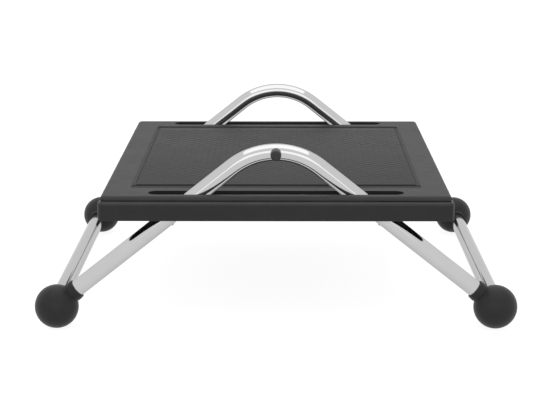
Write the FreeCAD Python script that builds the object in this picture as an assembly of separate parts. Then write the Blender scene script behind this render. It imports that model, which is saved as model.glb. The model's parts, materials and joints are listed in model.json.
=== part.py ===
import FreeCAD, Part
import math
import os

os.makedirs("parts", exist_ok=True)
Vec = FreeCAD.Vector

# Tilting under desk footrest, in millimetres.
# X runs from one long edge of the tray to the other, which is the way the tray tilts.
# Y runs along the hinge line, from the front arch to the rear arch. Z is up.
# The origin is on the floor, in the middle of the four feet.

# Tube frame
tube_spacing_x = 454.0
tube_spacing_y = 413.6
tube_diameter = 17.3
tube_wall = 1.5
arch_apex_height = 182.8
arch_bend_radius = 70.9

# Ball feet
ball_diameter = 45.0
ball_flat_diameter = 10.4
ball_shift_in = 1.7
ball_shift_out = 2.6
collar_diameter = 20.8
collar_reach = 29.5
collar_lip = 0.5
leg_end_gap = 11.0
side_tube_overrun = 8.0
pad_diameter = 8.6
pad_thickness = 2.4
pad_proud = 0.2

# Screws of the feet
foot_screw_diameter = 4.0
foot_screw_length = 12.5
foot_screw_head_diameter = 7.0
foot_screw_head_height = 2.4
leg_screw_diameter = 3.5
leg_screw_length = 8.0
leg_screw_head_diameter = 6.4
leg_screw_place = 25.0

# Buffers on the tops of the arches
buffer_diameter = 10.8
buffer_length = 13.5
buffer_round = 3.0
buffer_stem_diameter = 5.0
buffer_stem_length = 6.0

# Deck, the top plate of the tray
tray_width = 358.8
tray_end_overhang = 21.8
deck_inset = 2.0
deck_top_height = 141.0
deck_corner_radius = 5.0
deck_edge_radius = 4.6
deck_edge_thickness = 3.9
deck_belly = 0.5
deck_belly_margin_x = 23.0
deck_belly_margin_y = 35.0
slot_width = 18.4
slot_end_gap = 2.3
recess_side_margin = 29.4
recess_end_setback = 23.6
recess_corner_radius = 4.0
recess_depth = 1.4

# Grip mat
mat_gap = 0.4
mat_border_thickness = 1.2
mat_field_height = 0.8
mat_field_margin_x = 5.0
mat_field_margin_y = 15.3

# Lower frame of the tray, with its apron
apron_height = 20.0
apron_wall = 2.5
apron_corner_radius = 6.0
apron_shoulder_radius = 4.4
apron_bottom_radius = 0.8
shadow_gap = 0.9
ledge_outer_inset = 4.6
ledge_inner_inset = 7.0
ledge_height = 5.9
rib_thickness = 3.0
rib_height = 16.2
rib_column_x = 60.0
outer_boss_margin = 30.0
boss_diameter = 11.0
boss_inset = 5.5

# Screws that hold the deck to the lower frame
deck_boss_diameter = 7.0
deck_boss_length = 9.2
deck_screw_diameter = 3.5
deck_screw_length = 11.5
deck_screw_head_diameter = 6.8
deck_screw_head_height = 2.3

# Friction hinge
hinge_drop = 23.0
hinge_limit_deg = 11.5
strap_thickness = 8.0
strap_height = 5.2
strap_drop = 10.7
strap_offset = 16.0
strap_hub_diameter = 18.0
strap_neck_half_width = 18.0
strap_foot_width = 6.0
strap_foot_setback = 5.9
hinge_bolt_diameter = 8.0
hinge_bolt_head_diameter = 14.0
hinge_bolt_head_height = 4.4
hinge_bolt_socket_width = 5.0
hinge_bolt_overhang = 1.0
bush_wall = 1.2
bush_flange_diameter = 16.0
bush_flange_thickness = 0.9
friction_disc_thickness = 1.5
spring_washer_thickness = 1.6
spring_washer_diameter = 14.0
hinge_nut_width = 13.0
hinge_nut_height = 8.0

# Steel brackets that carry the tray on the hinge bolts
bracket_thickness = 3.0
bracket_half_width = 30.0
bracket_bottom_rise = 4.0
bracket_top_gap = 0.8
bracket_ear_diameter = 20.0
bracket_screw_x = 20.0
bracket_screw_drop = 7.2
bracket_screw_diameter = 5.0
bracket_screw_head_diameter = 9.0
bracket_screw_head_height = 2.6
bracket_nut_width = 8.0
bracket_nut_height = 4.0
notch_half_width = 12.0
notch_rise = 11.0

# Clearances
press_gap = 0.05
pin_gap = 0.05
face_gap = 0.1
socket_end_gap = 0.4
boss_gap = 0.3

# What follows from the sizes above
tube_radius = tube_diameter / 2
ball_radius = ball_diameter / 2
half_x = tube_spacing_x / 2
half_y = tube_spacing_y / 2
ball_x = half_x - ball_shift_in
ball_y = half_y + ball_shift_out
foot_height = pad_proud + math.sqrt(ball_radius ** 2 - (ball_flat_diameter / 2) ** 2)
bend_centre_height = arch_apex_height - arch_bend_radius
rise = bend_centre_height - foot_height
foot_to_centre = math.hypot(half_x, rise)
leg_angle = math.atan2(rise, half_x) + math.asin(arch_bend_radius / foot_to_centre)
tray_length = tube_spacing_y + 2 * tray_end_overhang
deck_width = tray_width - 2 * deck_inset
deck_length = tray_length - 2 * deck_inset
recess_width = tray_width - 2 * recess_side_margin
recess_length = tube_spacing_y - 2 * recess_end_setback
deck_edge_bottom = deck_top_height - deck_edge_thickness
deck_belly_bottom = deck_edge_bottom - deck_belly
shoulder_height = deck_edge_bottom - shadow_gap
apron_bottom_height = shoulder_height - apron_height
ledge_bottom_height = deck_edge_bottom - ledge_height
rib_bottom_height = deck_belly_bottom - rib_height
deck_boss_bottom = deck_belly_bottom - deck_boss_length
outer_boss_x = tray_width / 2 - outer_boss_margin
hinge_height = deck_top_height - hinge_drop
strap_bottom_height = hinge_height - strap_drop
strap_middle_height = strap_bottom_height + strap_height / 2
leg_x_at_strap = half_x - (strap_middle_height - foot_height) / math.tan(leg_angle)
strap_foot_outer_x = leg_x_at_strap - strap_foot_setback
strap_foot_inner_x = strap_foot_outer_x - strap_foot_width
bracket_bottom_height = hinge_height + bracket_bottom_rise
bracket_top_height = deck_belly_bottom - bracket_top_gap
bracket_screw_height = deck_belly_bottom - bracket_screw_drop
notch_top_height = hinge_height + notch_rise
bush_radius = hinge_bolt_diameter / 2 + pin_gap + bush_wall
strap_outer_y = half_y - strap_offset
strap_inner_y = strap_outer_y - strap_thickness
bracket_outer_y = strap_inner_y - bush_flange_thickness - face_gap
bracket_inner_y = bracket_outer_y - bracket_thickness
rib_outer_y = bracket_inner_y
rib_inner_y = rib_outer_y - rib_thickness
disc_inner_y = strap_outer_y + face_gap
bolt_head_inner_y = disc_inner_y + friction_disc_thickness
nut_outer_y = bracket_inner_y - spring_washer_thickness
nut_inner_y = nut_outer_y - hinge_nut_height


def leg_reach(height):
    """How far from the middle the outer side of a leg is, at this height of a tray tilted to its limit."""
    tilt = math.radians(hinge_limit_deg)
    across = math.sin(leg_angle) * math.cos(tilt) - math.cos(leg_angle) * math.sin(tilt)
    along = math.sin(leg_angle) * math.sin(tilt) + math.cos(leg_angle) * math.cos(tilt)
    at_hinge = arch_bend_radius + tube_radius - math.cos(leg_angle) * (hinge_height - bend_centre_height)
    return (at_hinge - along * (height - hinge_height)) / across


slot_length = 2 * (leg_reach(deck_edge_bottom) + slot_end_gap)


def box(x0, x1, y0, y1, z0, z1):
    return Part.makeBox(x1 - x0, y1 - y0, z1 - z0, Vec(x0, y0, z0))


def rod(start, direction, radius, length):
    return Part.makeCylinder(radius, length, start, direction)


def ring(start, direction, outer_radius, inner_radius, length):
    outer = rod(start, direction, outer_radius, length)
    return outer.cut(rod(start, direction, inner_radius, length))


def hexagon(centre, width, height):
    """A six-sided block with its axis along -Y from the centre of its inner face."""
    corner = width / 2 / math.cos(math.pi / 6)
    points = []
    for i in range(7):
        angle = i * math.pi / 3
        points.append(centre + Vec(corner * math.cos(angle), 0, corner * math.sin(angle)))
    return Part.Face(Part.makePolygon(points)).extrude(Vec(0, -height, 0))


def nut(centre, width, height, bore):
    return hexagon(centre, width, height).cut(rod(centre, Vec(0, -1, 0), bore / 2, height))


def rounded_outline(width, length, radius, z):
    """A closed wire, round at its corners, centred on the origin."""
    x = width / 2
    y = length / 2
    bulge = radius * (1 - math.sqrt(0.5))
    r = radius
    edges = [
        Part.LineSegment(Vec(x, r - y, z), Vec(x, y - r, z)),
        Part.Arc(Vec(x, y - r, z), Vec(x - bulge, y - bulge, z), Vec(x - r, y, z)),
        Part.LineSegment(Vec(x - r, y, z), Vec(r - x, y, z)),
        Part.Arc(Vec(r - x, y, z), Vec(bulge - x, y - bulge, z), Vec(-x, y - r, z)),
        Part.LineSegment(Vec(-x, y - r, z), Vec(-x, r - y, z)),
        Part.Arc(Vec(-x, r - y, z), Vec(bulge - x, bulge - y, z), Vec(r - x, -y, z)),
        Part.LineSegment(Vec(r - x, -y, z), Vec(x - r, -y, z)),
        Part.Arc(Vec(x - r, -y, z), Vec(x - bulge, bulge - y, z), Vec(x, r - y, z)),
    ]
    return Part.Wire([edge.toShape() for edge in edges])


def rounded_plate(width, length, radius, z0, z1):
    return Part.Face(rounded_outline(width, length, radius, z0)).extrude(Vec(0, 0, z1 - z0))


def soften(shape, height, radius):
    """Rounds all the edges of a plate that lie at one height."""
    level = [edge for edge in shape.Edges
             if abs(edge.BoundBox.ZMin - height) < 0.01 and abs(edge.BoundBox.ZMax - height) < 0.01]
    return shape.makeFillet(radius, level)


def front_to_rear(shape):
    return shape.mirror(Vec(0, 0, 0), Vec(0, 1, 0))


def left_to_right(shape):
    return shape.mirror(Vec(0, 0, 0), Vec(1, 0, 0))


def save(name, shape):
    if shape.ShapeType == "Compound" and len(shape.Solids) == 1:
        shape = shape.Solids[0]
    if not shape.isValid():
        raise ValueError(name + " is not a valid shape")
    shape.exportStep("parts/" + name + ".step")
    print(f"{name:22s} solids {len(shape.Solids):2d} volume {shape.Volume:10.1f}")


# Directions and points of the front left leg. The tubes meet a little off the middle of the ball.
leg_up = Vec(math.cos(leg_angle), 0, math.sin(leg_angle))
leg_under = Vec(math.sin(leg_angle), 0, -math.cos(leg_angle))
tubes_meet = Vec(-half_x, -half_y, foot_height)
ball_centre = Vec(-ball_x, -ball_y, foot_height)
hinge_front = Vec(0, -strap_outer_y, hinge_height)


def arch_solid(radius, end_gap):
    """The space of a rod bent to the arch, from foot to foot, in the front plane."""
    bend_x = arch_bend_radius * math.sin(leg_angle)
    bend_z = bend_centre_height + arch_bend_radius * math.cos(leg_angle)
    left_end = tubes_meet + leg_up * end_gap
    right_end = Vec(-left_end.x, left_end.y, left_end.z)
    left_bend = Vec(-bend_x, -half_y, bend_z)
    right_bend = Vec(bend_x, -half_y, bend_z)
    apex = Vec(0, -half_y, arch_apex_height)
    path = Part.Wire([
        Part.LineSegment(left_end, left_bend).toShape(),
        Part.Arc(left_bend, apex, right_bend).toShape(),
        Part.LineSegment(right_bend, right_end).toShape(),
    ])
    section = Part.Wire(Part.makeCircle(radius, left_end, leg_up))
    return path.makePipeShell([section], True, False)


def arch_tube():
    tube = arch_solid(tube_radius, leg_end_gap).cut(arch_solid(tube_radius - tube_wall, leg_end_gap))
    stem_hole = rod(Vec(0, -half_y, arch_apex_height), Vec(0, -1, 0),
                    buffer_stem_diameter / 2 + press_gap, tube_diameter)
    tube = tube.cut(stem_hole)
    for screw in leg_screw_pair(press_gap):
        tube = tube.cut(screw)
    return tube


def side_tube():
    half_length = half_y + side_tube_overrun
    start = Vec(-half_x, -half_length, foot_height)
    tube = ring(start, Vec(0, 1, 0), tube_radius, tube_radius - tube_wall, 2 * half_length)
    tube = tube.cut(foot_screw(press_gap))
    return tube.cut(front_to_rear(foot_screw(press_gap)))


def foot_screw(gap):
    """The screw up through the ball into the side tube, at the front left foot."""
    head_bottom = pad_thickness + face_gap
    start = Vec(-ball_x, -ball_y, head_bottom)
    up = Vec(0, 0, 1)
    head = rod(start, up, foot_screw_head_diameter / 2 + gap, foot_screw_head_height)
    length = foot_screw_head_height + foot_screw_length
    return head.fuse(rod(start, up, foot_screw_diameter / 2 + gap, length))


def leg_screw(gap):
    """The countersunk screw from under the collar into the leg, at the front left foot."""
    seat = tubes_meet + leg_up * leg_screw_place + leg_under * (collar_diameter / 2)
    inward = leg_under * -1
    head_height = leg_screw_head_diameter / 2 - leg_screw_diameter / 2
    head = Part.makeCone(leg_screw_head_diameter / 2 + gap, leg_screw_diameter / 2 + gap,
                         head_height, seat, inward)
    return head.fuse(rod(seat, inward, leg_screw_diameter / 2 + gap, leg_screw_length))


def leg_screw_pair(gap):
    left = leg_screw(gap)
    return [left, left_to_right(left)]


def collar(direction):
    """A sleeve that stands out of the front left ball, with its outer edge broken."""
    sleeve = rod(tubes_meet, direction, collar_diameter / 2, collar_reach)
    mouth = [edge for edge in sleeve.Edges
             if abs((edge.CenterOfMass - tubes_meet).dot(direction) - collar_reach) < 0.01]
    return sleeve.makeChamfer(collar_lip, mouth)


def ball_foot():
    """The front left foot: a ball with one collar for the leg and one for the side tube."""
    ball = Part.makeSphere(ball_radius, ball_centre)
    floor_cut = box(-ball_x - ball_radius, -ball_x + ball_radius, -ball_y - ball_radius,
                    -ball_y + ball_radius, -ball_radius, pad_proud)
    foot = ball.cut(floor_cut).fuse(collar(leg_up)).fuse(collar(Vec(0, 1, 0)))
    leg_socket = rod(tubes_meet + leg_up * (leg_end_gap - socket_end_gap), leg_up,
                     tube_radius + press_gap, collar_reach)
    side_start = Vec(-half_x, -half_y - side_tube_overrun - socket_end_gap, foot_height)
    side_socket = rod(side_start, Vec(0, 1, 0), tube_radius + press_gap, ball_diameter)
    pad_pocket = rod(Vec(-ball_x, -ball_y, 0), Vec(0, 0, 1), pad_diameter / 2 + press_gap,
                     pad_thickness + face_gap)
    for tool in (leg_socket, side_socket, pad_pocket, foot_screw(press_gap), leg_screw(press_gap)):
        foot = foot.cut(tool)
    return foot


def foot_pad():
    return rod(Vec(-ball_x, -ball_y, 0), Vec(0, 0, 1), pad_diameter / 2, pad_thickness)


def arch_buffer():
    """The round-ended stud on the outer side of the front arch, at its top."""
    apex = Vec(0, -half_y, arch_apex_height)
    out = Vec(0, -1, 0)
    reach = tube_radius + buffer_length
    head = rod(apex, out, buffer_diameter / 2, reach)
    end = [edge for edge in head.Edges if abs(edge.CenterOfMass.y - (apex.y - reach)) < 0.01]
    head = head.makeFillet(buffer_round, end)
    head = head.cut(arch_solid(tube_radius + press_gap, leg_end_gap))
    head = max(head.Solids, key=lambda solid: -solid.CenterOfMass.y)
    stem_start = apex + out * (tube_radius - buffer_stem_length)
    return head.fuse(rod(stem_start, out, buffer_stem_diameter / 2, buffer_stem_length + buffer_length / 2))


def hinge_strap():
    """The bar welded between the two legs of the front arch, with the hub of the hinge."""
    y0 = -strap_outer_y
    y1 = -strap_inner_y
    top = strap_bottom_height + strap_height
    strap = box(-strap_foot_outer_x, strap_foot_outer_x, y0, y1, strap_bottom_height, top)
    for side in (-1, 1):
        x0, x1 = sorted((side * strap_foot_inner_x, side * strap_foot_outer_x))
        strap = strap.fuse(box(x0, x1, -half_y, y0, strap_bottom_height, top))
    strap = strap.cut(arch_solid(tube_radius + press_gap, leg_end_gap))
    strap = max(strap.Solids, key=lambda solid: solid.Volume)
    hub = rod(hinge_front, Vec(0, 1, 0), strap_hub_diameter / 2, strap_thickness)
    hub_radius = strap_hub_diameter / 2
    neck = Part.makePolygon([
        Vec(-strap_neck_half_width, y0, top),
        Vec(strap_neck_half_width, y0, top),
        Vec(hub_radius, y0, hinge_height),
        Vec(-hub_radius, y0, hinge_height),
        Vec(-strap_neck_half_width, y0, top),
    ])
    hub = hub.fuse(Part.Face(neck).extrude(Vec(0, strap_thickness, 0)))
    bore = rod(hinge_front, Vec(0, 1, 0), bush_radius + press_gap, strap_thickness)
    return strap.fuse(hub).cut(bore).removeSplitter()


def hinge_bush():
    along = Vec(0, 1, 0)
    bush = rod(hinge_front, along, bush_radius, strap_thickness)
    flange_start = Vec(0, -strap_inner_y, hinge_height)
    bush = bush.fuse(rod(flange_start, along, bush_flange_diameter / 2, bush_flange_thickness))
    length = strap_thickness + bush_flange_thickness
    return bush.cut(rod(hinge_front, along, hinge_bolt_diameter / 2 + pin_gap, length))


def friction_disc():
    start = Vec(0, -bolt_head_inner_y, hinge_height)
    return ring(start, Vec(0, 1, 0), bush_flange_diameter / 2, hinge_bolt_diameter / 2 + pin_gap,
                friction_disc_thickness)


def hinge_bolt():
    out = Vec(0, -1, 0)
    head = rod(Vec(0, -bolt_head_inner_y, hinge_height), out, hinge_bolt_head_diameter / 2,
               hinge_bolt_head_height)
    crown_y = -bolt_head_inner_y - hinge_bolt_head_height
    crown = [edge for edge in head.Edges if abs(edge.CenterOfMass.y - crown_y) < 0.01]
    head = head.makeFillet(hinge_bolt_head_height / 2, crown)
    socket = hexagon(Vec(0, crown_y + hinge_bolt_head_height / 2, hinge_height),
                     hinge_bolt_socket_width, hinge_bolt_head_height)
    tip_y = -nut_inner_y + hinge_bolt_overhang
    shank = rod(Vec(0, tip_y, hinge_height), out, hinge_bolt_diameter / 2, tip_y + bolt_head_inner_y)
    return head.cut(socket).fuse(shank)


def spring_washer():
    start = Vec(0, -bracket_inner_y, hinge_height)
    return ring(start, Vec(0, 1, 0), spring_washer_diameter / 2,
                hinge_bolt_diameter / 2 + pin_gap, spring_washer_thickness)


def hinge_nut():
    bore = hinge_bolt_diameter + 2 * pin_gap
    return nut(Vec(0, -nut_inner_y, hinge_height), hinge_nut_width, hinge_nut_height, bore)


def bracket_screw_points():
    return [Vec(side * bracket_screw_x, -bracket_outer_y, bracket_screw_height) for side in (-1, 1)]


def tray_bracket():
    y0 = -bracket_outer_y
    plate = box(-bracket_half_width, bracket_half_width, y0, y0 + bracket_thickness,
                bracket_bottom_height, bracket_top_height)
    along = Vec(0, 1, 0)
    centre = Vec(0, y0, hinge_height)
    plate = plate.fuse(rod(centre, along, bracket_ear_diameter / 2, bracket_thickness))
    plate = plate.cut(rod(centre, along, hinge_bolt_diameter / 2 + pin_gap, bracket_thickness))
    for point in bracket_screw_points():
        plate = plate.cut(rod(point, along, bracket_screw_diameter / 2 + press_gap, bracket_thickness))
    return plate.removeSplitter()


def bracket_screws():
    screws = []
    shank_length = bracket_thickness + rib_thickness + bracket_nut_height + hinge_bolt_overhang
    for point in bracket_screw_points():
        head = rod(point, Vec(0, -1, 0), bracket_screw_head_diameter / 2, bracket_screw_head_height)
        crown_y = point.y - bracket_screw_head_height
        crown = [edge for edge in head.Edges if abs(edge.CenterOfMass.y - crown_y) < 0.01]
        head = head.makeFillet(bracket_screw_head_height / 2, crown)
        screws.append(head.fuse(rod(point, Vec(0, 1, 0), bracket_screw_diameter / 2, shank_length)))
    return screws


def bracket_nuts():
    bore = bracket_screw_diameter + 2 * pin_gap
    nuts = []
    for side in (-1, 1):
        face = Vec(side * bracket_screw_x, -rib_inner_y + bracket_nut_height, bracket_screw_height)
        nuts.append(nut(face, bracket_nut_width, bracket_nut_height, bore))
    return nuts


boss_row_y = rib_inner_y + rib_thickness / 2 - boss_inset
boss_places = [(x, y) for x in (-outer_boss_x, -rib_column_x, rib_column_x, outer_boss_x)
               for y in (-boss_row_y, 0, boss_row_y)]


def slot_space(z0, z1):
    """The space of the front slot, round at its ends."""
    half = slot_length / 2 - slot_width / 2
    slot = box(-half, half, -half_y - slot_width / 2, -half_y + slot_width / 2, z0, z1)
    for side in (-1, 1):
        slot = slot.fuse(rod(Vec(side * half, -half_y, z0), Vec(0, 0, 1), slot_width / 2, z1 - z0))
    return slot


def deck():
    """The top plate. Its edge is a wide round that stops at the underside."""
    full_round_bottom = deck_top_height - deck_edge_radius - deck_belly
    plate = rounded_plate(deck_width, deck_length, deck_corner_radius, full_round_bottom, deck_top_height)
    plate = soften(plate, deck_top_height, deck_edge_radius)
    plate = plate.cut(box(-deck_width, deck_width, -deck_length, deck_length, 0, deck_edge_bottom))
    belly_x = tray_width / 2 - deck_belly_margin_x
    belly_y = tray_length / 2 - deck_belly_margin_y
    belly = box(-belly_x, belly_x, -belly_y, belly_y, deck_belly_bottom, deck_edge_bottom)
    body = plate.fuse(belly)
    for x, y in boss_places:
        seat = Vec(x, y, deck_boss_bottom)
        body = body.fuse(rod(seat, Vec(0, 0, 1), deck_boss_diameter / 2, deck_boss_length))
    recess = rounded_plate(recess_width, recess_length, recess_corner_radius,
                           deck_top_height - recess_depth, deck_top_height + recess_depth)
    body = body.cut(recess)
    front_slot = slot_space(deck_edge_bottom - deck_belly, deck_top_height + deck_belly)
    body = body.cut(front_slot).cut(front_to_rear(front_slot))
    for screw in deck_screws(press_gap):
        body = body.cut(screw)
    return body.removeSplitter()


def deck_screws(gap):
    screws = []
    for x, y in boss_places:
        start = Vec(x, y, rib_bottom_height)
        up = Vec(0, 0, 1)
        head = rod(start, up, deck_screw_head_diameter / 2 + gap, deck_screw_head_height)
        length = deck_screw_head_height + deck_screw_length
        screws.append(head.fuse(rod(start, up, deck_screw_diameter / 2 + gap, length)))
    return screws


def grip_mat():
    floor = deck_top_height - recess_depth
    width = recess_width - 2 * mat_gap
    length = recess_length - 2 * mat_gap
    sheet = rounded_plate(width, length, recess_corner_radius - mat_gap, floor, floor + mat_border_thickness)
    field = rounded_plate(width - 2 * mat_field_margin_x, length - 2 * mat_field_margin_y,
                          recess_corner_radius - mat_gap, floor + mat_border_thickness,
                          floor + mat_border_thickness + mat_field_height)
    return sheet.fuse(field).removeSplitter()


def apron():
    """The outer wall of the lower frame, with its round shoulder and the ledge that carries the deck."""
    outer_x = tray_width / 2
    outer_y = tray_length / 2
    wall = rounded_plate(tray_width, tray_length, apron_corner_radius, apron_bottom_height, shoulder_height)
    wall = soften(wall, shoulder_height, apron_shoulder_radius)
    wall = soften(wall, apron_bottom_height, apron_bottom_radius)
    ledge = rounded_plate(tray_width - 2 * ledge_outer_inset, tray_length - 2 * ledge_outer_inset,
                          apron_corner_radius - ledge_outer_inset, ledge_bottom_height, deck_edge_bottom)
    room = rounded_plate(tray_width - 2 * apron_wall, tray_length - 2 * apron_wall,
                         apron_corner_radius - apron_wall, apron_bottom_height, ledge_bottom_height)
    x = outer_x - ledge_inner_inset
    y = outer_y - ledge_inner_inset
    opening = box(-x, x, -y, y, apron_bottom_height, deck_top_height)
    return wall.fuse(ledge).cut(room).cut(opening)


def tray_frame():
    reach_x = tray_width / 2 - apron_wall / 2
    frame = apron()
    for y0 in (-rib_outer_y, -rib_thickness / 2, rib_inner_y):
        cross_rib = box(-reach_x, reach_x, y0, y0 + rib_thickness, rib_bottom_height, deck_belly_bottom)
        frame = frame.fuse(cross_rib)
    for x in (-rib_column_x, rib_column_x):
        frame = frame.fuse(box(x - rib_thickness / 2, x + rib_thickness / 2, -rib_inner_y, rib_inner_y,
                               rib_bottom_height, deck_belly_bottom))
    up = Vec(0, 0, 1)
    for x, y in boss_places:
        start = Vec(x, y, rib_bottom_height)
        frame = frame.fuse(rod(start, up, boss_diameter / 2, deck_belly_bottom - rib_bottom_height))
    for x, y in boss_places:
        seat = Vec(x, y, deck_boss_bottom)
        frame = frame.cut(rod(seat, up, deck_boss_diameter / 2 + boss_gap, deck_boss_length))
    for screw in deck_screws(press_gap):
        frame = frame.cut(screw)
    notch = box(-notch_half_width, notch_half_width, -rib_outer_y, -rib_inner_y, rib_bottom_height,
                notch_top_height)
    frame = frame.cut(notch).cut(front_to_rear(notch))
    for point in bracket_screw_points():
        hole = rod(point, Vec(0, 1, 0), bracket_screw_diameter / 2 + press_gap,
                   bracket_thickness + rib_thickness)
        frame = frame.cut(hole).cut(front_to_rear(hole))
    return frame.removeSplitter()


for end, place in (("front", lambda shape: shape), ("rear", front_to_rear)):
    save(end + "_arch_tube", place(arch_tube()))
    save(end + "_arch_buffer", place(arch_buffer()))
    save(end + "_hinge_strap", place(hinge_strap()))
    save(end + "_hinge_bush", place(hinge_bush()))
    save(end + "_friction_disc", place(friction_disc()))
    save(end + "_hinge_bolt", place(hinge_bolt()))
    save(end + "_spring_washer", place(spring_washer()))
    save(end + "_hinge_nut", place(hinge_nut()))
    save(end + "_tray_bracket", place(tray_bracket()))
    save(end + "_left_foot", place(ball_foot()))
    save(end + "_right_foot", place(left_to_right(ball_foot())))
    save(end + "_left_foot_pad", place(foot_pad()))
    save(end + "_right_foot_pad", place(left_to_right(foot_pad())))

save("left_side_tube", side_tube())
save("right_side_tube", left_to_right(side_tube()))
save("deck", deck())
save("grip_mat", grip_mat())
save("tray_frame", tray_frame())
save("deck_screws", Part.makeCompound(deck_screws(0)))

front_left_pair = [foot_screw(0), left_to_right(foot_screw(0))]
save("foot_screws", Part.makeCompound(front_left_pair + [front_to_rear(s) for s in front_left_pair]))
front_leg_screws = leg_screw_pair(0)
save("leg_screws", Part.makeCompound(front_leg_screws + [front_to_rear(s) for s in front_leg_screws]))
front_screws = bracket_screws()
save("bracket_screws", Part.makeCompound(front_screws + [front_to_rear(s) for s in front_screws]))
front_nuts = bracket_nuts()
save("bracket_nuts", Part.makeCompound(front_nuts + [front_to_rear(s) for s in front_nuts]))

print(f"leg angle {math.degrees(leg_angle):.2f}, foot centre {foot_height:.2f}, slot {slot_length:.2f}")
print(f"hinge height {hinge_height:.2f}, straps end at x {strap_foot_outer_x:.2f}")
wall_gap = tray_width / 2 - apron_wall - leg_reach(apron_bottom_height)
print(f"leg to side wall of the tray at the limit {wall_gap:.2f}")
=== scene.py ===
# %% [markdown]
# Dressing a tilting under desk footrest.
# The footrest already exists as exact solids: two chromed arches on ball feet, and a black tray
# that rocks between them. This lesson gives every part its finish, remodels the parts whose look
# needs more than the plain solid, and lights the whole as a plain studio picture.
# Everything is in metres. X runs the way the tray tilts, Y runs along the hinge line, Z is up.

# %% Load the solids
import json
import math

import bpy
from mathutils import Matrix, Vector


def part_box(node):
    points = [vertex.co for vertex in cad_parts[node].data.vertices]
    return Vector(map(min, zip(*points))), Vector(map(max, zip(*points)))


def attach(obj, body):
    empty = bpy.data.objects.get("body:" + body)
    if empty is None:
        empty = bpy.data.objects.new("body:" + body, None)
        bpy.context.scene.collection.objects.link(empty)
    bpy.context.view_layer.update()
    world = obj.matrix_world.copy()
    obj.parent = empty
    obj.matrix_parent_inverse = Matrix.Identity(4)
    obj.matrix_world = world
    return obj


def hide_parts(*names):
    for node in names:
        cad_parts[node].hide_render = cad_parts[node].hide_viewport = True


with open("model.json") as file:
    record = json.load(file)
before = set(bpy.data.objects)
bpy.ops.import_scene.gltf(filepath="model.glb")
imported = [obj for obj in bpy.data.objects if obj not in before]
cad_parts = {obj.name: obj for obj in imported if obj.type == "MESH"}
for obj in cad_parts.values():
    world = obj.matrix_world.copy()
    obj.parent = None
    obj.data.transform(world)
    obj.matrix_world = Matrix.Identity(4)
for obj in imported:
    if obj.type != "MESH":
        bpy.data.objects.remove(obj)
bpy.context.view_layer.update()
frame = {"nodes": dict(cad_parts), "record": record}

nodes = frame["nodes"]

# %% [markdown]
# The camera stands about 1.6 m in front of the near arch and looks down a little.
# A long lens keeps the two arches close to the same size. The focal length is given in pixels of
# the picture, because that is how it was worked out, and the sensor is Blender's usual 36 mm.

# %% Camera
FOCAL_IN_PIXELS = 1600
PICTURE_WIDTH = 550
SENSOR_WIDTH = 36
CAMERA_PLACE = (0.0066, -1.7906, 0.4848)
CAMERA_PITCH = math.radians(12.724)
CAMERA_TURN = math.radians(0.273)

camera_data = bpy.data.cameras.new("camera")
camera_data.sensor_width = SENSOR_WIDTH
camera_data.lens = SENSOR_WIDTH * FOCAL_IN_PIXELS / PICTURE_WIDTH
camera = bpy.data.objects.new("camera", camera_data)
camera.location = CAMERA_PLACE
camera.rotation_euler = (math.radians(90) - CAMERA_PITCH, 0, CAMERA_TURN)
bpy.context.scene.collection.objects.link(camera)
bpy.context.scene.camera = camera
print("lens:", round(camera_data.lens, 1), "mm")

# %% [markdown]
# Chrome shows whatever stands around it, so the studio matters more than the metal.
# The curved highlights on the arches say what was there: one large soft box overhead, and a wide
# low panel behind the camera. All else is white. The world is white to the camera and in
# reflections. A lamp adds to the white behind it, so the two panels glow by less than one white.
# A third, weak lamp lies on the floor and shines up, as a white floor does under the tray.

# %% World
FILL_LEVEL = 0.85

scene = bpy.context.scene
scene.view_settings.view_transform = "Standard"
world = bpy.data.worlds.new("studio")
scene.world = world
world.use_nodes = True
tree = world.node_tree
background = tree.nodes["Background"]
background.inputs["Color"].default_value = (1, 1, 1, 1)
path = tree.nodes.new("ShaderNodeLightPath")
seen = tree.nodes.new("ShaderNodeMath")
seen.operation = "MAXIMUM"
tree.links.new(path.outputs["Is Camera Ray"], seen.inputs[0])
tree.links.new(path.outputs["Is Glossy Ray"], seen.inputs[1])
seen_or_through = tree.nodes.new("ShaderNodeMath")
seen_or_through.operation = "MAXIMUM"
tree.links.new(seen.outputs[0], seen_or_through.inputs[0])
tree.links.new(path.outputs["Is Transmission Ray"], seen_or_through.inputs[1])
level = tree.nodes.new("ShaderNodeMapRange")
level.inputs["To Min"].default_value = FILL_LEVEL
level.inputs["To Max"].default_value = 1
tree.links.new(seen_or_through.outputs[0], level.inputs["Value"])
tree.links.new(level.outputs["Result"], background.inputs["Strength"])
print("fill:", FILL_LEVEL)

# %% Lamps
OVERHEAD_GLOW = 0.68
OVERHEAD_PLACE = (0, 0.10, 1.26)
OVERHEAD_SIZE = (1.35, 1.5)
FRONT_GLOW = 0.63
FRONT_PLACE = (0, -3.0, 1.22)
FRONT_SIZE = (2.6, 1.55)
BOUNCE_GLOW = 0.35
BOUNCE_PLACE = (0, 0, 0.0005)
BOUNCE_SIZE = (0.8, 0.8)


def panel_lamp(name, place, facing, size, glow):
    """A flat lamp whose face is as bright as the given number of whites."""
    data = bpy.data.lights.new(name, "AREA")
    data.shape = "RECTANGLE"
    data.size, data.size_y = size
    data.energy = glow * math.pi * data.size * data.size_y
    lamp = bpy.data.objects.new(name, data)
    lamp.location = place
    lamp.rotation_euler = Vector(facing).to_track_quat("-Z", "Y").to_euler()
    lamp.visible_camera = False
    bpy.context.scene.collection.objects.link(lamp)
    return lamp


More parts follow.
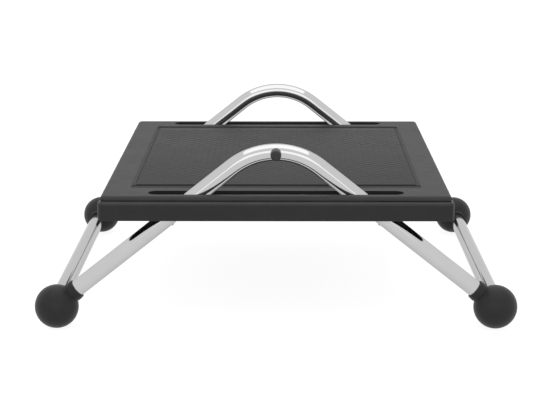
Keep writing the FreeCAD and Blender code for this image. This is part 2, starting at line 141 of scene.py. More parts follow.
overhead = panel_lamp("overhead_box", OVERHEAD_PLACE, (0, 0, -1), OVERHEAD_SIZE, OVERHEAD_GLOW)
front = panel_lamp("front_panel", FRONT_PLACE, (0, 1, 0), FRONT_SIZE, FRONT_GLOW)
bounce = panel_lamp("floor_bounce", BOUNCE_PLACE, (0, 0, 1), BOUNCE_SIZE, BOUNCE_GLOW)
bounce.visible_glossy = False
print("lamps:", overhead.name, front.name, bounce.name)

# %% Floor
FLOOR_SIZE = 14
FLOOR_GREY = 0.26
GLOW_TO_CAMERA = 0.9
GLOW_IN_METAL = 0.74

bpy.ops.object.select_all(action="DESELECT")
bpy.ops.mesh.primitive_plane_add(size=FLOOR_SIZE, location=(0, 0, 0))
floor = bpy.context.object
floor.name = "floor"
paint = bpy.data.materials.new("floor_paint")
paint.use_nodes = True
tree = paint.node_tree
shader = tree.nodes["Principled BSDF"]
shader.inputs["Base Color"].default_value = (FLOOR_GREY, FLOOR_GREY, FLOOR_GREY, 1)
shader.inputs["Roughness"].default_value = 0.9
shader.inputs["Specular IOR Level"].default_value = 0.0
shader.inputs["Emission Color"].default_value = (1, 1, 1, 1)
path = tree.nodes.new("ShaderNodeLightPath")
in_metal = tree.nodes.new("ShaderNodeMath")
in_metal.operation = "MULTIPLY"
in_metal.inputs[1].default_value = GLOW_IN_METAL
tree.links.new(path.outputs["Is Glossy Ray"], in_metal.inputs[0])
glow = tree.nodes.new("ShaderNodeMath")
glow.operation = "MULTIPLY_ADD"
glow.inputs[1].default_value = GLOW_TO_CAMERA
tree.links.new(path.outputs["Is Camera Ray"], glow.inputs[0])
tree.links.new(in_metal.outputs[0], glow.inputs[2])
tree.links.new(glow.outputs[0], shader.inputs["Emission Strength"])
floor.data.materials.append(paint)
print("floor:", FLOOR_SIZE, "m square")

# %% [markdown]
# Materials come next. Two effects are shared, so each is a node group that is built once:
# the fine grain of a moulded or etched surface, and the faint marks that hands and shoes leave.
# A group only gives values that change over the surface. The shader stays in each material.

# %% Grain


def new_group(name, inputs, outputs):
    """An empty shader group with named number sockets, and its two end nodes."""
    group = bpy.data.node_groups.new(name, "ShaderNodeTree")
    for label, value in inputs.items():
        socket = group.interface.new_socket(label, in_out="INPUT", socket_type="NodeSocketFloat")
        socket.default_value = value
    for label in outputs:
        group.interface.new_socket(label, in_out="OUTPUT", socket_type="NodeSocketFloat")
    start = group.nodes.new("NodeGroupInput")
    end = group.nodes.new("NodeGroupOutput")
    return group, start, end


def grain_group():
    """Height of a fine moulded grain, from two sizes of noise."""
    inputs = {"Grains per metre": 2500, "Coarse share": 0.35}
    group, start, end = new_group("moulded_grain", inputs, ["Height"])
    place = group.nodes.new("ShaderNodeTexCoord")
    fine = group.nodes.new("ShaderNodeTexNoise")
    fine.inputs["Detail"].default_value = 2
    coarse = group.nodes.new("ShaderNodeTexVoronoi")
    coarse.feature = "SMOOTH_F1"
    half = group.nodes.new("ShaderNodeMath")
    half.operation = "MULTIPLY"
    half.inputs[1].default_value = 0.5
    blend = group.nodes.new("ShaderNodeMix")
    link = group.links.new
    for texture in (fine, coarse):
        link(place.outputs["Object"], texture.inputs["Vector"])
    link(start.outputs["Grains per metre"], fine.inputs["Scale"])
    link(start.outputs["Grains per metre"], half.inputs[0])
    link(half.outputs[0], coarse.inputs["Scale"])
    link(start.outputs["Coarse share"], blend.inputs["Factor"])
    link(fine.outputs["Fac"], blend.inputs["A"])
    link(coarse.outputs["Distance"], blend.inputs["B"])
    link(blend.outputs["Result"], end.inputs["Height"])
    return group


grain = grain_group()
print("group:", grain.name)

# %% Handling marks


def marks_group():
    """A mask of faint handling marks: broad smudges broken up by fine streaks."""
    group, start, end = new_group("handling_marks", {"Size per metre": 14, "Streaks": 6}, ["Mask"])
    place = group.nodes.new("ShaderNodeTexCoord")
    smudge = group.nodes.new("ShaderNodeTexNoise")
    smudge.inputs["Detail"].default_value = 5
    smudge.inputs["Roughness"].default_value = 0.6
    finer = group.nodes.new("ShaderNodeMath")
    finer.operation = "MULTIPLY"
    streak = group.nodes.new("ShaderNodeTexNoise")
    streak.inputs["Detail"].default_value = 3
    both = group.nodes.new("ShaderNodeMath")
    both.operation = "MULTIPLY"
    spread = group.nodes.new("ShaderNodeMapRange")
    spread.inputs["From Min"].default_value = 0.15
    spread.inputs["From Max"].default_value = 0.4
    link = group.links.new
    for texture in (smudge, streak):
        link(place.outputs["Object"], texture.inputs["Vector"])
    link(start.outputs["Size per metre"], smudge.inputs["Scale"])
    link(start.outputs["Size per metre"], finer.inputs[0])
    link(start.outputs["Streaks"], finer.inputs[1])
    link(finer.outputs[0], streak.inputs["Scale"])
    link(smudge.outputs["Fac"], both.inputs[0])
    link(streak.outputs["Fac"], both.inputs[1])
    link(both.outputs[0], spread.inputs["Value"])
    link(spread.outputs["Result"], end.inputs["Mask"])
    return group


marks = marks_group()
print("group:", marks.name)

# %% [markdown]
# A finish needs more than one colour. Each material here varies its colour and roughness with the
# marks, and takes its relief from the grain. What is the same all over, such as the gloss level of
# a plastic, is set on the shader itself.

# %% Finish maker


def finish(name, dark, light, rough, grains, depth, metal=0.0, gloss=0.5, edge=1.0, size=14):
    """A procedural material.

    The marks, of a size per metre, mix the colours dark and light and the two values of rough.
    grains is the grain's count per metre and depth its height. edge tints what shows at a grazing angle.
    """
    material = bpy.data.materials.new(name)
    material.use_nodes = True
    tree = material.node_tree
    link = tree.links.new
    shader = tree.nodes["Principled BSDF"]
    shader.inputs["Metallic"].default_value = metal
    shader.inputs["Specular IOR Level"].default_value = gloss
    shader.inputs["Specular Tint"].default_value = (edge, edge, edge, 1)
    mask = tree.nodes.new("ShaderNodeGroup")
    mask.node_tree = marks
    mask.inputs["Size per metre"].default_value = size
    tone = tree.nodes.new("ShaderNodeMix")
    tone.data_type = "RGBA"
    tone.inputs["A"].default_value = (*dark, 1)
    tone.inputs["B"].default_value = (*light, 1)
    link(mask.outputs["Mask"], tone.inputs["Factor"])
    link(tone.outputs["Result"], shader.inputs["Base Color"])
    dull = tree.nodes.new("ShaderNodeMapRange")
    dull.inputs["To Min"].default_value = rough[0]
    dull.inputs["To Max"].default_value = rough[1]
    link(mask.outputs["Mask"], dull.inputs["Value"])
    link(dull.outputs["Result"], shader.inputs["Roughness"])
    relief = tree.nodes.new("ShaderNodeGroup")
    relief.node_tree = grain
    relief.inputs["Grains per metre"].default_value = grains
    bump = tree.nodes.new("ShaderNodeBump")
    bump.inputs["Strength"].default_value = 1
    bump.inputs["Distance"].default_value = depth
    link(relief.outputs["Height"], bump.inputs["Height"])
    link(bump.outputs["Normal"], shader.inputs["Normal"])
    return material


def grey(value):
    return (value, value, value)


# %% Finishes
chrome = finish("chrome_plate", grey(0.560), grey(0.575), rough=(0.06, 0.09),
                grains=900, depth=0.000001, metal=1, edge=0.78, size=9)
deck_plastic = finish("deck_plastic", grey(0.040), grey(0.046), rough=(0.52, 0.60),
                      grains=2600, depth=0.00003, gloss=0.15)
apron_plastic = finish("apron_plastic", grey(0.020), grey(0.024), rough=(0.40, 0.48),
                       grains=2600, depth=0.00003, gloss=0.25)
foot_plastic = finish("foot_plastic", grey(0.027), grey(0.031), rough=(0.36, 0.44),
                      grains=2000, depth=0.00001, gloss=0.15)
mat_rubber = finish("mat_rubber", grey(0.046), grey(0.053), rough=(0.60, 0.70),
                    grains=1800, depth=0.00003, gloss=0.15)
pad_rubber = finish("pad_rubber", grey(0.012), grey(0.020), rough=(0.65, 0.80),
                    grains=1500, depth=0.00004, gloss=0.25)
buffer_rubber = finish("buffer_rubber", grey(0.025), grey(0.031), rough=(0.45, 0.55),
                       grains=1800, depth=0.00002, gloss=0.35)
zinc_steel = finish("zinc_steel", grey(0.42), grey(0.55), rough=(0.28, 0.42),
                    grains=1200, depth=0.00001, metal=1, size=60)
bush_nylon = finish("bush_nylon", (0.55, 0.53, 0.47), (0.62, 0.60, 0.54), rough=(0.40, 0.50),
                    grains=1500, depth=0.00001)
disc_fibre = finish("disc_fibre", (0.10, 0.06, 0.035), (0.16, 0.10, 0.06), rough=(0.7, 0.85),
                    grains=1600, depth=0.00006)
print("chrome:", chrome.name, "deck:", deck_plastic.name, "mat:", mat_rubber.name)

# %% [markdown]
# Light and shade are painted into two places on the tray: the walls of the slots are darkened nearly
# to black as painted shade, and the round shoulder of the apron is made paler as a painted highlight.
# A mask made from the place on the object multiplies the colour there. It stays with the piece under any
# light.

# %% Tint helpers


def object_place(tree):
    """The three Object coordinates, as sockets."""
    place = tree.nodes.new("ShaderNodeTexCoord")
    axes = tree.nodes.new("ShaderNodeSeparateXYZ")
    tree.links.new(place.outputs["Object"], axes.inputs[0])
    return axes.outputs


def tint_by(material, mask, share):
    """Multiplies the colour by a share where a mask is 1."""
    tree = material.node_tree
    shade = tree.nodes.new("ShaderNodeMix")
    shade.data_type = "RGBA"
    shade.blend_type = "MULTIPLY"
    shade.inputs["B"].default_value = (share, share, share, 1)
    colour = tree.nodes["Principled BSDF"].inputs["Base Color"]
    tree.links.new(colour.links[0].from_socket, shade.inputs["A"])
    tree.links.new(mask, shade.inputs["Factor"])
    tree.links.new(shade.outputs["Result"], colour)


def tint_inside(material, low, high, share):
    """Tints inside a box. Both sides of the middle count alike along X and Y."""
    tree = material.node_tree
    inside = None
    for axis, (size, start, end) in enumerate(zip(object_place(tree), low, high)):
        if axis < 2:
            both_sides = tree.nodes.new("ShaderNodeMath")
            both_sides.operation = "ABSOLUTE"
            tree.links.new(size, both_sides.inputs[0])
            size = both_sides.outputs[0]
        within = tree.nodes.new("ShaderNodeMath")
        within.operation = "COMPARE"
        within.inputs[1].default_value = (start + end) / 2
        within.inputs[2].default_value = (end - start) / 2
        tree.links.new(size, within.inputs[0])
        if inside is None:
            inside = within.outputs[0]
        else:
            both = tree.nodes.new("ShaderNodeMath")
            both.operation = "MULTIPLY"
            tree.links.new(inside, both.inputs[0])
            tree.links.new(within.outputs[0], both.inputs[1])
            inside = both.outputs[0]
    tint_by(material, inside, share)


def tint_upwards(material, start, full, share):
    """Tints from one height up to another, where it is full."""
    tree = material.node_tree
    fade = tree.nodes.new("ShaderNodeMapRange")
    fade.inputs["From Min"].default_value = start
    fade.inputs["From Max"].default_value = full
    tree.links.new(object_place(tree)["Z"], fade.inputs["Value"])
    tint_by(material, fade.outputs["Result"], share)


# %% Painted shade and highlight by place
SLOT_INNER_Y = 0.197
SLOT_OUTER_Y = 0.217
SLOT_HALF_LENGTH = 0.131
SLOT_TOP_MARGIN = 0.0002
SLOT_PAINTED_SHADE = 0.35
SHADOW_GAP = 0.0009
SHOULDER_START = 0.0042
SHOULDER_FULL = 0.0010
SHOULDER_PAINTED_HIGHLIGHT = 2.6

deck_low, deck_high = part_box("deck")
slot_low = (0, SLOT_INNER_Y, deck_low.z)
slot_high = (SLOT_HALF_LENGTH, SLOT_OUTER_Y, deck_high.z - SLOT_TOP_MARGIN)
# Painted shade: the walls of the slots are darkened to 0.35 of the deck's colour.
tint_inside(deck_plastic, slot_low, slot_high, SLOT_PAINTED_SHADE)
shoulder_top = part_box("tray_frame")[1].z - SHADOW_GAP
# Painted highlight: the apron's round shoulder is made 2.6 times paler, fading in from 4.2 mm below its
# top.
tint_upwards(apron_plastic, shoulder_top - SHOULDER_START, shoulder_top - SHOULDER_FULL, SHOULDER_PAINTED_HIGHLIGHT)
print("tinted:", deck_plastic.name, apron_plastic.name)

# %% Dress the solids
FINISHES = {
    "chromed_tube": chrome,
    "chromed_strap": chrome,
    "buffer_rubber": buffer_rubber,
    "bush_nylon": bush_nylon,
    "disc_fibre": disc_fibre,
    "pad_rubber": pad_rubber,
    "foot_plastic": foot_plastic,
    "deck_plastic": deck_plastic,
    "mat_rubber": mat_rubber,
    "frame_plastic": apron_plastic,
    "bracket_steel": zinc_steel,
    "zinc_steel": zinc_steel,
}
SLOT_OF = {part["node"]: part["material_slot"] for part in frame["record"]["subparts"]}


def dress(piece, slot_name):
    """Gives a piece the finish of the record's slot that is named."""
    piece.data.materials.clear()
    piece.data.materials.append(FINISHES[slot_name])


for name, node in nodes.items():
    node.data.materials.clear()
    node.data.materials.append(FINISHES[SLOT_OF[name]])
print("dressed", len(nodes), "solids")

# %% [markdown]
# The grip mat is one sheet of rubber. A thin bead runs round its edge, then a flat border, then a
# narrow groove, then a raised field that is covered with rows of small round-ended ribs. At the two
# ends the border is wide and sunk, and its colour is darkened there as painted shade. The sheet starts
# as one block. Cuts across it mark where these meet, and the faces between the cuts are then pushed
# down or pulled up. That keeps the sheet one closed skin, which separate blocks would not be. The ribs
# are blocks of their own, sunk in it.

# %% Selecting, boxes and rounding
SAME_PLACE = 1e-6


def start_clean():
    """Leaves nothing selected, so that an operator only acts on what comes next."""
    if bpy.context.object and bpy.context.object.mode != "OBJECT":
        bpy.ops.object.mode_set(mode="OBJECT")
    bpy.ops.object.select_all(action="DESELECT")


def pick(piece):
    """Selects one piece and makes it the active one."""
    start_clean()
    piece.select_set(True)
    bpy.context.view_layer.objects.active = piece


def bake_place(piece):
    """Puts the object at the origin, unturned and unscaled, with its place in its mesh."""
    pick(piece)
    bpy.ops.object.transform_apply(location=True, rotation=True, scale=True)


def slab(name, low, high):
    """A box between two corners, ready to be shaped."""
    start_clean()
    middle = [(a + b) / 2 for a, b in zip(low, high)]
    bpy.ops.mesh.primitive_cube_add(size=1, location=middle)
    piece = bpy.context.object
    piece.name = name
    piece.scale = [b - a for a, b in zip(low, high)]
    bake_place(piece)
    return piece


def soften(piece, width, segments=2, upright_only=False):
    """Rounds edges with a Bevel modifier and applies it. upright_only keeps to the four corner edges."""
    pick(piece)
    bevel = piece.modifiers.new("bevel", "BEVEL")
    bevel.width = width
    bevel.segments = segments
    bevel.limit_method = "ANGLE"
    if upright_only:
        weights = piece.data.attributes.new("bevel_weight_edge", "FLOAT", "EDGE")
        for edge in piece.data.edges:
            a, b = (piece.data.vertices[i].co for i in edge.vertices)
            upright = abs(a.x - b.x) + abs(a.y - b.y) < SAME_PLACE
            weights.data[edge.index].value = 1.0 if upright else 0.0
        bevel.limit_method = "WEIGHT"
    bpy.ops.object.modifier_apply(modifier=bevel.name)


# %% Mat sheet
FACES_UP = 0.9
MAT_CORNER_RADIUS = 0.0036
MAT_EDGE_ROUND = 0.00015
BEAD_WIDTH = 0.0010
BEAD_HEIGHT = 0.0004
CHANNEL_DEPTH = 0.0005
CHANNEL_PAINTED_SHADE = 0.5
MAT_SPREAD = 0.0003
BORDER_SIDE = 0.0050
BORDER_END = 0.0153
GROOVE_WIDTH = 0.0016
GROOVE_DEPTH = 0.0006
FIELD_STEP = 0.0008
RIB_HEIGHT = 0.0004

mat_low, mat_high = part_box("grip_mat")
spread = Vector((MAT_SPREAD, MAT_SPREAD, 0))
mat_low = mat_low - spread
mat_high = mat_high + spread
field_top = mat_high.z - RIB_HEIGHT / 2
border_top = mat_high.z - FIELD_STEP
field_x = mat_high.x - BORDER_SIDE
field_y = mat_high.y - BORDER_END
bead_x = mat_high.x - BEAD_WIDTH
bead_y = mat_high.y - BEAD_WIDTH
groove_x = field_x + GROOVE_WIDTH
groove_y = field_y + GROOVE_WIDTH


def choose_faces(piece, chosen):
    """Selects the faces that a test picks, and stays in edit mode."""
    pick(piece)
    bpy.ops.object.mode_set(mode="EDIT")
    bpy.ops.mesh.select_all(action="DESELECT")
    bpy.ops.mesh.select_mode(type="FACE")
    bpy.ops.object.mode_set(mode="OBJECT")
    for face in piece.data.polygons:
        face.select = chosen(face)
    bpy.ops.object.mode_set(mode="EDIT")


def cut_across(piece, axis, places):
    """Cuts a piece into bands at the given places along an axis. Nothing is taken away."""
    pick(piece)
    bpy.ops.object.mode_set(mode="EDIT")
    normal = [1 if i == axis else 0 for i in range(3)]
    for place in places:
        bpy.ops.mesh.select_all(action="SELECT")
        bpy.ops.mesh.bisect(plane_co=[place * n for n in normal], plane_no=normal)
    bpy.ops.object.mode_set(mode="OBJECT")


def push_faces(piece, chosen, height):
    """Extrudes the top faces that a test on their centre chooses, up or down by a height."""
    choose_faces(piece, lambda face: face.normal.z > FACES_UP and chosen(face.center))
    bpy.ops.mesh.extrude_region_move(TRANSFORM_OT_translate={"value": (0, 0, height)})
    bpy.ops.object.mode_set(mode="OBJECT")


def in_field(centre):
    return abs(centre.x) < field_x and abs(centre.y) < field_y


def in_groove(centre):
    return abs(centre.x) < groove_x and abs(centre.y) < groove_y and not in_field(centre)


def in_channel(centre):
    return groove_y < abs(centre.y) < bead_y and abs(centre.x) < bead_x


def in_bead(centre):
    return abs(centre.x) > bead_x or abs(centre.y) > bead_y


sheet = slab("mat_sheet", mat_low, (mat_high.x, mat_high.y, border_top))
soften(sheet, MAT_CORNER_RADIUS, 6, upright_only=True)
cut_across(sheet, 0, (-bead_x, -groove_x, -field_x, field_x, groove_x, bead_x))
cut_across(sheet, 1, (-bead_y, -groove_y, -field_y, field_y, groove_y, bead_y))
push_faces(sheet, in_groove, -GROOVE_DEPTH)
push_faces(sheet, in_field, field_top - border_top)
push_faces(sheet, in_channel, -CHANNEL_DEPTH)
push_faces(sheet, in_bead, BEAD_HEIGHT)
# Painted shade: the sunk borders at the two ends of the mat are darkened to half their colour.
tint_inside(mat_rubber, (0, field_y, mat_low.z), (mat_high.x, bead_y, border_top), CHANNEL_PAINTED_SHADE)
soften(sheet, MAT_EDGE_ROUND)
print("sheet:", len(sheet.data.polygons), "faces")

# %% Mat ribs
RIB_LENGTH = 0.0078
RIB_WIDTH = 0.0030
RIB_STEP_X = 0.0132
RIB_STEP_Y = 0.0120
RIB_OVERHANG = 0.0006
RIB_END_SHARE = 0.48
RIB_TOP_SHARE = 0.4
MAT_SMOOTH_ANGLE = math.radians(40)


def join(pieces, name):
    """Joins pieces into the first one."""
    start_clean()
    for piece in pieces:
        piece.select_set(True)
    bpy.context.view_layer.objects.active = pieces[0]
    bpy.ops.object.join()
    pieces[0].name = name
    return pieces[0]


def repeat(piece, axis, step, count):
    """Copies a piece in a row with an applied Array modifier."""
    pick(piece)
    array = piece.modifiers.new("row", "ARRAY")
    array.use_relative_offset = False
    array.use_constant_offset = True
    array.constant_offset_displace = [step if i == axis else 0 for i in range(3)]
    array.count = count
    bpy.ops.object.modifier_apply(modifier=array.name)
    return piece


def rib_rows(name, x0, y0, columns, rows):
    """Rows of ribs from one round-ended rib at x0, y0."""
    rib = slab(name, (x0 - RIB_LENGTH / 2, y0 - RIB_WIDTH / 2, field_top - RIB_HEIGHT),
               (x0 + RIB_LENGTH / 2, y0 + RIB_WIDTH / 2, mat_high.z))
    soften(rib, RIB_WIDTH * RIB_END_SHARE, 3, upright_only=True)
    soften(rib, RIB_HEIGHT * RIB_TOP_SHARE, 1)
    repeat(rib, 0, step_x, columns)
    return repeat(rib, 1, RIB_STEP_Y, rows)


columns = int((2 * field_x + RIB_STEP_X - RIB_LENGTH) / RIB_STEP_X)
rows = int((2 * field_y - RIB_WIDTH) / RIB_STEP_Y)
first_x = RIB_LENGTH / 2 - field_x - RIB_OVERHANG
step_x = -2 * first_x / (columns - 1)
first_y = -(rows - 1) * RIB_STEP_Y / 2
even_ribs = rib_rows("even_ribs", first_x, first_y, columns, rows)
odd_ribs = rib_rows("odd_ribs", first_x + step_x / 2, first_y + RIB_STEP_Y / 2, columns - 1, rows - 1)
mat = join([sheet, even_ribs, odd_ribs], "ribbed_mat")
bpy.ops.object.shade_smooth_by_angle(angle=MAT_SMOOTH_ANGLE)
dress(mat, "mat_rubber")
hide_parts("grip_mat")
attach(mat, "tray")
print("mat:", columns, "by", rows, "ribs,", len(mat.data.polygons), "faces")

# %% [markdown]
# The screws are plain pins in the solids. Their heads are what shows from below, so each gets the
# recess that its driver turns. A screw is modelled once, upright at the origin with its head down:
# the head is a cylinder, its upper cap is drawn in and pulled up as the shank, and the recess is cut
# by a Boolean. Then it is copied to its places, each copy with its own mesh.

# %% Screw helpers
SMOOTH_ANGLE = math.radians(35)


def cap_of(piece, upward):
    """Selects the flat end of an upright piece, its top for 1 or its underside for -1, in edit mode."""
    ends = [face.center.z * upward for face in piece.data.polygons if face.normal.z * upward > FACES_UP]
    end = max(ends) - SAME_PLACE
    choose_faces(piece, lambda face: face.normal.z * upward > FACES_UP and face.center.z * upward > end)


def upright_pin(name, radius, depth, z, sides=32):
    """An upright cylinder that starts at height z on the Z axis."""
    start_clean()
    middle = (0, 0, z + depth / 2)
    bpy.ops.mesh.primitive_cylinder_add(vertices=sides, radius=radius, depth=depth, location=middle)
    piece = bpy.context.object
    piece.name = name
    bake_place(piece)
    return piece


def carve(piece, cutter):
    """Cuts one piece out of another with an applied Boolean, and deletes the cutter."""
    pick(piece)
    cut = piece.modifiers.new("cut", "BOOLEAN")
    cut.operation = "DIFFERENCE"
    cut.object = cutter
    bpy.ops.object.modifier_apply(modifier=cut.name)
    bpy.data.objects.remove(cutter)


def screw(name, head_radius, head_height, shank_radius, shank_length, countersunk=False):
    """A screw with its head at the origin and its shank up along Z."""
    piece = upright_pin(name, head_radius, head_height, 0)
    cap_of(piece, 1)
    if countersunk:
        share = shank_radius / head_radius
        bpy.ops.transform.resize(value=(share, share, 1))
    else:
        bpy.ops.mesh.inset(thickness=head_radius - shank_radius)
    bpy.ops.mesh.extrude_region_move(TRANSFORM_OT_translate={"value": (0, 0, shank_length)})
    bpy.ops.object.mode_set(mode="OBJECT")
    return piece


def cross_recess(piece, arm, half_width, depth):
    """The crossed slots that a cross-head driver turns."""
    for half_x, half_y in ((arm, half_width), (half_width, arm)):
        carve(piece, slab("cutter", (-half_x, -half_y, -depth), (half_x, half_y, depth)))


def copies(piece, places, name):
    """Copies a piece to places given as matrices, and joins the copies into one piece."""
    made = []
    for place in places:
        copy = piece.copy()
        copy.data = piece.data.copy()
        copy.matrix_world = place
        bpy.context.scene.collection.objects.link(copy)
        made.append(copy)
    bpy.data.objects.remove(piece)
    whole = join(made, name)
    bake_place(whole)
    return whole


def stand_in(piece, slot_name, body, solid):
    """Finishes a modelled piece: smooth shading, finish, the solid it stands for and its body."""
    pick(piece)
    bpy.ops.object.shade_smooth_by_angle(angle=SMOOTH_ANGLE)
    dress(piece, slot_name)
    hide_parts(solid)
    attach(piece, body)


# %% Deck screws
INNER_COLUMN_X = 0.060
DECK_HEAD_RADIUS = 0.0034
DECK_HEAD_HEIGHT = 0.0023
DECK_HEAD_ROUND = 0.0003
DECK_SHANK_RADIUS = 0.00175

screw_low, screw_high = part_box("deck_screws")
shank = screw_high.z - screw_low.z - DECK_HEAD_HEIGHT
outer_x = screw_high.x - DECK_HEAD_RADIUS
row_y = screw_high.y - DECK_HEAD_RADIUS
deck_screw = screw("deck_screw", DECK_HEAD_RADIUS, DECK_HEAD_HEIGHT, DECK_SHANK_RADIUS, shank)
soften(deck_screw, DECK_HEAD_ROUND)
cross_recess(deck_screw, arm=0.0019, half_width=0.00042, depth=0.0015)
columns_x = (-outer_x, -INNER_COLUMN_X, INNER_COLUMN_X, outer_x)
places = [Matrix.Translation((x, y, screw_low.z)) for x in columns_x for y in (-row_y, 0, row_y)]
stand_in(copies(deck_screw, places, "cross_head_deck_screws"), "zinc_steel", "tray", "deck_screws")
print("deck screws:", len(places))

# %% Leg screws
LEG_ANGLE = math.radians(38.47)
TUBES_MEET = Vector((0.2270, 0.2068, 0.02209))
LEG_SCREW_ALONG = 0.025
COLLAR_RADIUS = 0.0104
LEG_HEAD_RADIUS = 0.0032
LEG_HEAD_HEIGHT = 0.00145
LEG_SHANK_RADIUS = 0.00175
LEG_SHANK_LENGTH = 0.00655


def below_leg(side_x):
    """The direction square to a leg, away from the tray."""
    return Vector((-side_x * math.sin(LEG_ANGLE), 0, -math.cos(LEG_ANGLE)))


leg_screw = screw("leg_screw", LEG_HEAD_RADIUS, LEG_HEAD_HEIGHT, LEG_SHANK_RADIUS, LEG_SHANK_LENGTH,
                  countersunk=True)
cross_recess(leg_screw, arm=0.0017, half_width=0.0004, depth=0.0011)
places = []
for side_x in (-1, 1):
    for side_y in (-1, 1):
        along = Vector((-side_x * math.cos(LEG_ANGLE), 0, math.sin(LEG_ANGLE)))
        corner = Vector((side_x * TUBES_MEET.x, side_y * TUBES_MEET.y, TUBES_MEET.z))
        seat = corner + along * LEG_SCREW_ALONG + below_leg(side_x) * COLLAR_RADIUS
        turn = Matrix.Rotation(side_x * LEG_ANGLE, 4, "Y")
        places.append(Matrix.Translation(seat) @ turn)
stand_in(copies(leg_screw, places, "cross_head_leg_screws"), "zinc_steel", "stand", "leg_screws")
print("leg screws:", len(places))

# %% Bracket screws
BRACKET_HEAD_RADIUS = 0.0045
BRACKET_HEAD_HEIGHT = 0.0026
BRACKET_HEAD_ROUND = 0.0006
BRACKET_SHANK_RADIUS = 0.0025
BRACKET_SHANK_LENGTH = 0.011
BRACKET_SOCKET_RADIUS = 0.0017
BRACKET_SOCKET_DEPTH = 0.0015

low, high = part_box("bracket_screws")
screw_x = high.x - BRACKET_HEAD_RADIUS
screw_z = high.z - BRACKET_HEAD_RADIUS
bracket_screw = screw("bracket_screw", BRACKET_HEAD_RADIUS, BRACKET_HEAD_HEIGHT,
                      BRACKET_SHANK_RADIUS, BRACKET_SHANK_LENGTH)
soften(bracket_screw, BRACKET_HEAD_ROUND, 3)
socket_z = -BRACKET_SOCKET_DEPTH
socket = upright_pin("cutter", BRACKET_SOCKET_RADIUS, 2 * BRACKET_SOCKET_DEPTH, socket_z, sides=6)
carve(bracket_screw, socket)
places = []
for side_y in (-1, 1):
    for x in (-screw_x, screw_x):
        seat = Matrix.Translation((x, side_y * high.y, screw_z))
        places.append(seat @ Matrix.Rotation(side_y * math.radians(90), 4, "X"))
bracket_set = copies(bracket_screw, places, "socket_head_bracket_screws")
stand_in(bracket_set, "zinc_steel", "tray", "bracket_screws")
print("bracket screws:", len(places))

# %% [markdown]
# The nut on each hinge bolt is a lock nut: a hexagon with a round collar. In the real collar a nylon
# ring keeps the friction of the hinge where it was set. The ring can't be seen, and isn't made here.

# %% Lock nuts
NUT_WIDTH = 0.013
NUT_HEX_HEIGHT = 0.0066
NUT_ROUND = 0.0005
NUT_COLLAR_RADIUS = 0.0056
NUT_COLLAR_SUNK = 0.0002
HALF_HEX_ANGLE = math.radians(30)
BOLT_RADIUS = 0.0041
BORE_START = -0.01
BORE_LENGTH = 0.03

for end, side_y in (("front", -1), ("rear", 1)):
    solid = end + "_hinge_nut"
    low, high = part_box(solid)
    depth = high.y - low.y
    nut = upright_pin("nut", NUT_WIDTH / 2 / math.cos(HALF_HEX_ANGLE), NUT_HEX_HEIGHT, 0, sides=6)
    soften(nut, NUT_ROUND)
    collar_start = NUT_HEX_HEIGHT - NUT_COLLAR_SUNK
    collar = upright_pin("collar", NUT_COLLAR_RADIUS, depth - collar_start, collar_start)
    soften(collar, NUT_ROUND, 3)
    for blank in (nut, collar):
        carve(blank, upright_pin("cutter", BOLT_RADIUS, BORE_LENGTH, BORE_START))
    nut = join([nut, collar], end + "_lock_nut")
    outer_face = low.y if side_y < 0 else high.y
    middle = (low + high) / 2
    turn = Matrix.Rotation(side_y * math.radians(90), 4, "X") @ Matrix.Rotation(HALF_HEX_ANGLE, 4, "Z")
    nut.matrix_world = Matrix.Translation((middle.x, outer_face, middle.z)) @ turn
    bake_place(nut)
    stand_in(nut, "zinc_steel", "tray", solid)
    print(nut.name, [round(v, 4) for v in nut.dimensions])

# %% [markdown]
# Each ball stands on a small rubber pad. Two ring grooves in its underside let it grip.

# %% Foot pads
RING_WIDTHS = (0.0012, 0.0006, 0.0009, 0.0006)
RING_DEPTH = 0.0006


def grooved_pad(name, low, high):
    """A round pad. Every second one of the rings on its underside is a groove."""
    radius = (high.x - low.x) / 2
    pad = upright_pin(name, radius, high.z - low.z, low.z, sides=48)
    reach = radius
    grooves = []
    for i, width in enumerate(RING_WIDTHS):
        cap_of(pad, -1)
        bpy.ops.mesh.inset(thickness=width)
        bpy.ops.object.mode_set(mode="OBJECT")
        if i % 2:
            grooves.append((reach - width, reach))
        reach -= width

    def in_groove_ring(face):
        distance = math.hypot(face.center.x, face.center.y)
        return face.normal.z < -FACES_UP and any(a < distance < b for a, b in grooves)

    choose_faces(pad, in_groove_ring)
    bpy.ops.mesh.extrude_region_move(TRANSFORM_OT_translate={"value": (0, 0, RING_DEPTH)})
    bpy.ops.object.mode_set(mode="OBJECT")
    pad.location = ((low.x + high.x) / 2, (low.y + high.y) / 2, 0)
    bake_place(pad)
    return pad


for end in ("front", "rear"):
    for side in ("left", "right"):
        solid = end + "_" + side + "_foot_pad"
        pad = grooved_pad(end + "_" + side + "_grooved_pad", *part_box(solid))
        stand_in(pad, "pad_rubber", "stand", solid)
print("pads: 4, grooves in each:", len(RING_WIDTHS) // 2)

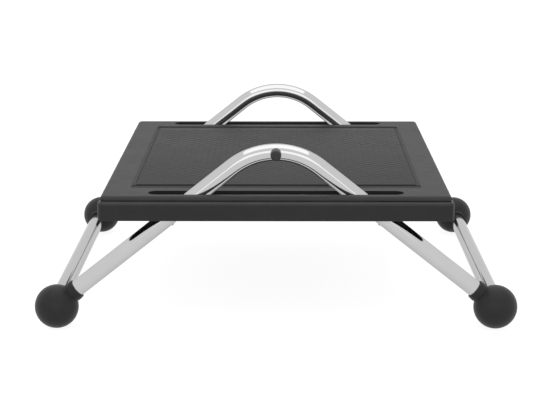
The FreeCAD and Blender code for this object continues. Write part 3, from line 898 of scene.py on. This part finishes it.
# %% [markdown]
# The strap of each hinge is welded to the legs. A weld is laid as a row of overlapping drops, so
# that is how it is made: small balls are set round the end of the strap where it meets the tube,
# joined, and fused by an applied Remesh. The plating runs over it, as over the strap.

# %% Weld beads
DROP_RADIUS = 0.0012
DROPS = 22
RING_POWER = 0.6
FUSE_SIZE = 0.0003
TUBE_RADIUS = 0.00865
STRAP_HEIGHT = 0.0052
STRAP_FOOT_WIDTH = 0.0060


def squared(value):
    """Draws a sine or cosine towards 1, so that a circle becomes a rounded square."""
    return math.copysign(abs(value) ** RING_POWER, value)


def weld_bead(middle, half_x, half_z, side_x, side_y):
    """A bead round a strap end that butts on the side of a leg."""
    drops = []
    corner = Vector((side_x * TUBES_MEET.x, 0, TUBES_MEET.z))
    for i in range(DROPS):
        angle = math.tau * i / DROPS
        x = middle.x + half_x * squared(math.cos(angle))
        z = middle.z + half_z * squared(math.sin(angle))
        off_axis = (Vector((x, 0, z)) - corner).dot(below_leg(side_x))
        y = side_y * (TUBES_MEET.y - math.sqrt(max(0, TUBE_RADIUS ** 2 - off_axis ** 2)))
        start_clean()
        bpy.ops.mesh.primitive_ico_sphere_add(subdivisions=2, radius=DROP_RADIUS, location=(x, y, z))
        drops.append(bpy.context.object)
    bead = join(drops, "bead")
    bake_place(bead)
    fuse = bead.modifiers.new("fuse", "REMESH")
    fuse.mode = "VOXEL"
    fuse.voxel_size = FUSE_SIZE
    bpy.ops.object.modifier_apply(modifier=fuse.name)
    return bead


for end, side_y in (("front", -1), ("rear", 1)):
    low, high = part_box(end + "_hinge_strap")
    half_x = STRAP_FOOT_WIDTH / 2
    half_z = STRAP_HEIGHT / 2
    beads = []
    for side_x in (-1, 1):
        middle = Vector((side_x * (high.x - half_x), 0, low.z + half_z))
        beads.append(weld_bead(middle, half_x, half_z, side_x, side_y))
    welds = join(beads, end + "_weld_beads")
    pick(welds)
    bpy.ops.object.shade_smooth()
    dress(welds, "chromed_strap")
    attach(welds, "stand")
    print(welds.name, len(welds.data.polygons), "faces")
